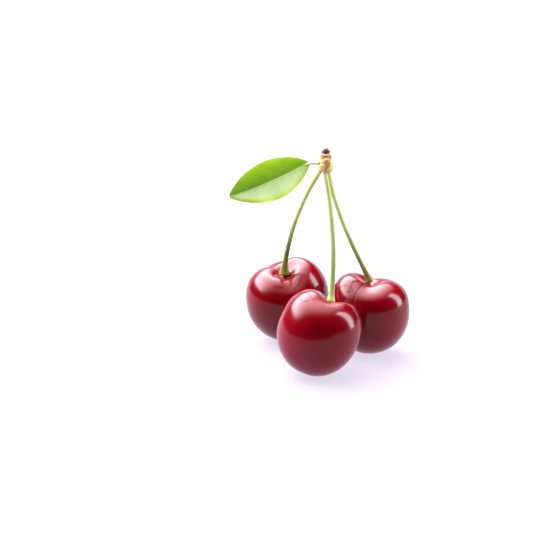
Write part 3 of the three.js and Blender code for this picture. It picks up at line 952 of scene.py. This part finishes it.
def make_bud_scales(spur_foot, material):
    """The old bud scales that wrap the lower half of the spur."""
    for i in range(SCALE_COUNT):
        bearing = SCALE_START + i * 360 / SCALE_COUNT
        points, straight, end = wrapped_pad(
            bearing, SCALE_HALF_ANGLE, SCALE_INSIDE, SCALE_THICKNESS, SCALE_HEIGHT, SCALE_SHEAR, 40 + i,
        )
        marks = {"straight": straight, "edge": 0.9 * end}
        piece = lofted(f"old_bud_scale_{i + 1}", points + spur_foot - SCALE_DROP * UP, marks)
        settle(piece, f"bud_scale_{i + 1}", material)


def make_tip(spur_foot, material):
    """The terminal bud and the two small scales beside it."""
    seat = spur_foot + UP * (SPUR_HEIGHT + JOIN_GAP)
    lap = np.linspace(0, 2 * math.pi, BUD_SIDES, endpoint=False)
    share, angle = np.meshgrid(np.linspace(0, 0.985, BUD_ROWS), lap, indexing="ij")
    # Overlapping scales in a spiral: each one ends in a low step.
    spiral = share * BUD_TURNS + 0.28 * np.abs(np.sin(angle * 1.5)) + angle / (2 * math.pi)
    step = spiral % 1
    radius = BUD_RADIUS * np.sqrt(1 - share**3.2) * (1 + 0.07 * (step - 0.5) * (1 - share**4))
    points = np.stack([radius * np.cos(angle), radius * np.sin(angle), share * BUD_HEIGHT], axis=-1)
    marks = {"edge": 0.6 * bell(step - 0.94, 0.06)}
    settle(lofted("terminal_bud", points + seat, marks), "spur_bud", material)
    for name, bearing in (("left", 180), ("right", 0)):
        points, _, end = wrapped_pad(
            bearing, TIP_SCALE_HALF_ANGLE, TIP_SCALE_INSIDE, TIP_SCALE_THICKNESS, TIP_SCALE_HEIGHT, 0, 60,
        )
        piece = lofted(f"small_scale_{name}", points + seat, {"edge": 0.4 * end})
        settle(piece, f"tip_scale_{name}", material)


# ---------------------------------------------------------------- leaf


def leaf_directions():
    """Unit vectors along the leaf, across it and out of its upper side."""
    heading = unit(LEAF_HEADING)
    across = unit(np.cross(LEAF_FACE, heading))
    return heading, across, np.cross(heading, across)


def make_leaf(spur_foot, material):
    """The leaf blade: folded along its midrib, toothed, veined and slightly quilted between the veins."""
    heading, across, face = leaf_directions()
    base = spur_foot + np.array([-LEAF_STALK_REACH, 0, LEAF_STALK_Z - LEAF_STALK_DROP])
    row = np.linspace(0, 1, LEAF_ROWS)
    column = np.sin(np.linspace(-math.pi / 2, math.pi / 2, LEAF_COLUMNS))
    column = np.sign(column) * np.abs(column) ** 1.1
    share, side = np.meshgrid(row, np.concatenate([column, column[::-1]]), indexing="ij")
    is_upper = np.broadcast_to(np.repeat([1.0, 0.0], LEAF_COLUMNS), side.shape)

    half = LEAF_END_HALF + (LEAF_WIDTH / 2 - LEAF_END_HALF) * np.sin(math.pi * share) ** 0.75
    along = share * LEAF_LENGTH
    out = np.abs(side)
    # Teeth point towards the tip and die out at both ends.
    tooth = (along / TOOTH_PITCH + 0.37 * (side > 0)) % 1
    teeth = TOOTH_DEPTH * (tooth - 0.5) * out**16 * np.sin(math.pi * share) ** 0.4
    width = side * half + np.sign(side) * teeth
    from_midrib = np.abs(width)

    # Side veins leave the midrib at a slope and bend towards the tip near the margin.
    origin = along - VEIN_SLOPE * from_midrib * (1 + 0.05 * from_midrib) + 0.5 * VEIN_PITCH * (side > 0)
    phase = (origin / VEIN_PITCH) % 1
    off_vein = np.minimum(phase, 1 - phase) * VEIN_PITCH
    fade = np.clip(1.15 - out, 0, 1) * np.sin(math.pi * np.clip(share, 0.02, 0.98)) ** 0.5
    laid_flat = np.stack([width, along, 0 * along], axis=-1)
    strength = np.clip(0.55 + 0.5 * swell(laid_flat, 3, 71), 0, 1)
    vein = bell(off_vein, VEIN_WIDTH) * fade * strength
    rib_width = 0.14 + 0.2 * (1 - share)
    midrib = bell(from_midrib, rib_width, 3)
    quilt = QUILT_RISE * np.sin(math.pi * phase) ** 2 * np.sin(math.pi * np.clip(out, 0, 1)) * fade

    fold = math.radians(LEAF_FOLD)
    bulge = np.sin(math.pi * share)
    soft_fold = np.sqrt(from_midrib**2 + FOLD_ROUND**2) - FOLD_ROUND
    wave = LEAF_WAVE * np.sin(along * 0.75 + 1.2 * np.sign(side)) * out**3 * bulge
    lift = soft_fold * math.sin(fold) + LEAF_ARCH * bulge + wave + quilt
    upper = LEAF_THICKNESS * (1 - 0.45 * out**6) - VEIN_DEPTH * vein - MIDRIB_GROOVE * midrib
    lower = -(VEIN_DEPTH * 1.2) * vein - MIDRIB_RISE * midrib * (1 - 0.6 * share)
    level = np.where(is_upper > 0.5, upper, lower)
    offset = width * math.cos(fold) + LEAF_BOW * bulge
    points = (
        base + along[..., None] * heading + offset[..., None] * across + (lift + level)[..., None] * face
    )
    from_margin = half - from_midrib
    # Painted sheen: the lower half is painted pale grey-green, as a reflection of the light above. It thins
    # out beside the midrib and the margin.
    sheen_painted = (side > 0) * np.clip(from_midrib / 0.6, 0, 1) * np.clip((from_margin - 0.7) / 0.9, 0, 1)
    marks = {
        "straight": np.stack([width, along - 0.6 * from_midrib, is_upper * 5], axis=-1) * MM,
        "vein": 0.5 * vein * (1 - 0.5 * (side > 0)),
        "midrib": 0.9 * midrib,
        # out drives the painted fold shade and margin glow, and is lower near the base and the tip
        "out": np.clip(out * (0.55 + 0.45 * bulge), 0, 1),
        "painted_sheen": 0.95 * sheen_painted * np.clip(share * 6, 0.2, 1),
    }
    settle(lofted("leaf_blade", points, marks), "leaf", material)


def make_leaf_stalk(spur_foot, material):
    """The short grooved stalk between the spur and the leaf blade."""
    heading, _, face = leaf_directions()
    base = spur_foot + np.array([-LEAF_STALK_REACH, 0, LEAF_STALK_Z - LEAF_STALK_DROP])
    root = spur_foot + np.array([-SPUR_RADIUS - JOIN_GAP, 0, LEAF_STALK_Z])
    corners = [root, base, base + 2 * heading + LEAF_ARCH * 0.2 * face]
    length = measured(corners)[1][-1]

    def radius_at(along, angle):
        ends = 1 + 0.3 * bell(along, 0.8) - 0.35 * np.clip(along / length - 0.6, 0, 1)
        groove = 0.16 * bell(turn(np.degrees(angle) - 90), 26)
        return LEAF_STALK_RADIUS * (ends - groove)

    along = np.linspace(0, length, LEAF_STALK_ROWS)
    points, straight = rod(corners, along, radius_at, LEAF_STALK_SIDES)
    far = straight[..., 2] / MM
    marks = {"straight": straight, "along": far / length, "rim": 0.4 * bell(far, 0.4)}
    settle(lofted("leaf_stalk", points, marks), "leaf", material)


# ---------------------------------------------------------------- studio

spur_middle = middle_of("spur_bud")
spur_foot = np.array([spur_middle[0], spur_middle[1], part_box("spur")[0].z / MM])

VIEW_ELEVATION = 17
VIEW_DISTANCE = 450
VIEW_HEIGHT = 27.6
VIEW_ASIDE = -16.9  # the middle of the view from the spur, because the cluster sits right of the middle
LENS = 96.93
SENSOR_WIDTH = 36
SOFTBOX_TINT = (1.0, 0.93, 1.02)
FLOOR_REACH = 4000


def aimed(location, target, name, data):
    """A camera or a light at a place, turned towards its target."""
    made = bpy.data.objects.new(name, data)
    made.location = Vector(location) * MM
    made.rotation_mode = "QUATERNION"
    made.rotation_quaternion = (Vector(target) - Vector(location)).to_track_quat("-Z", "Y")
    bpy.context.scene.collection.objects.link(made)
    return made


def set_camera():
    data = bpy.data.cameras.new("studio_camera")
    data.sensor_width = SENSOR_WIDTH
    data.lens = LENS
    data.clip_start, data.clip_end = 0.01, 20
    target = np.array([spur_foot[0] + VIEW_ASIDE, spur_foot[1], VIEW_HEIGHT])
    slope = math.radians(VIEW_ELEVATION)
    back = np.array([0, -math.cos(slope), math.sin(slope)])
    bpy.context.scene.camera = aimed(target + back * VIEW_DISTANCE, target, "studio_camera", data)


def fade_out(tree, value, dark, full):
    """A smooth rise from 0 at dark to 1 at full."""
    rise = add(
        tree, "ShaderNodeMapRange", {"Value": value, "From Min": dark, "From Max": full},
        interpolation_type="SMOOTHSTEP",
    )
    return rise.outputs[0]


def softbox(name, location, target, size, radiance):
    """A rectangular light that is seen only in reflections."""
    data = bpy.data.lights.new(name, "AREA")
    data.shape = "RECTANGLE"
    data.size, data.size_y = size[0] * MM, size[1] * MM
    data.energy = radiance * math.pi * data.size * data.size_y
    data.color = SOFTBOX_TINT
    made = aimed(location, target, name, data)
    made.visible_camera = False
    return made


def fade_diffuser(light):
    """Lights the diffuser unevenly: most behind on the left, less to the right and the front, with soft
    edges."""
    light.data.use_nodes = True
    tree = light.data.node_tree
    tree.nodes.clear()
    place = add(tree, "ShaderNodeNewGeometry").outputs["Position"]
    split = add(tree, "ShaderNodeSeparateXYZ", {0: place})
    x, y = split.outputs[0], split.outputs[1]
    # Metres across and back; the slopes are shares of full brightness for each metre.
    slope = add(tree, "ShaderNodeVectorMath", {0: place, 1: (-0.214, 0.262, 0)}, operation="DOT_PRODUCT")
    share = add(
        tree, "ShaderNodeMapRange",
        {"Value": slope.outputs["Value"], "From Min": -0.4, "From Max": 0.6, "To Min": 0.02},
    )
    lit = share.outputs[0]
    for value, dark, full in ((y, -1.3, 0.3), (x, -3.6, -2.6), (x, 1.3, -0.2), (y, 3.6, 1.4)):
        fade = fade_out(tree, value, dark, full)
        lit = add(tree, "ShaderNodeMath", {0: lit, 1: fade}, operation="MULTIPLY").outputs[0]
    glow = add(tree, "ShaderNodeEmission", {"Strength": lit})
    add(tree, "ShaderNodeOutputLight", {"Surface": glow.outputs[0]})


def set_lights():
    # A wide diffuser overhead gives the broad pink sheens on the shoulders.
    overhead = softbox(
        "overhead_diffuser", location=(-1150, 1450, 1500), target=(-1150, 1450, 0), size=(5100, 6100),
        radiance=20,
    )
    fade_diffuser(overhead)
    # A tall narrow window on the right draws the upright highlights.
    softbox("right_window", location=(1190, 70, 620), target=(0, 0, 20), size=(430, 1500), radiance=15)
    # A dim wall behind lights the rims.
    softbox("back_wall", location=(0, 3200, 500), target=(0, 0, 500), size=(6400, 1000), radiance=1.2)
    world = bpy.data.worlds.new("studio_dark")
    world.use_nodes = True
    world.node_tree.nodes["Background"].inputs["Color"].default_value = linear("14121a")
    world.node_tree.nodes["Background"].inputs["Strength"].default_value = 1
    bpy.context.scene.world = world


def lay_floor():
    sheet = bpy.data.meshes.new("acrylic_floor")
    corners = [(-1, -1), (1, -1), (1, 1), (-1, 1)]
    reach = FLOOR_REACH * MM
    sheet.from_pydata([(x * reach, y * reach, 0) for x, y in corners], [], [(0, 1, 2, 3)])
    sheet.materials.append(opal_acrylic_table())
    floor = bpy.data.objects.new("acrylic_floor", sheet)
    bpy.context.scene.collection.objects.link(floor)


set_camera()
set_lights()
lay_floor()
bpy.context.scene.view_settings.view_transform = "Standard"

# ---------------------------------------------------------------- the cluster

skin = ripe_cherry_skin()
for side, stops in STALK_GREENS_AND_SHADE.items():
    centre = make_cherry(side, skin)
    make_stalk(side, centre, spur_foot, green_stalk(f"green_stalk_{side}", stops))
make_spur(spur_foot, ringed_spur_bark())
make_bud_scales(spur_foot, papery_bud_scale())
make_tip(spur_foot, resinous_bud())
make_leaf(spur_foot, waxy_young_leaf())
make_leaf_stalk(spur_foot, green_stalk("leaf_stalk_painted_glow", LEAF_STALK_GLOW))
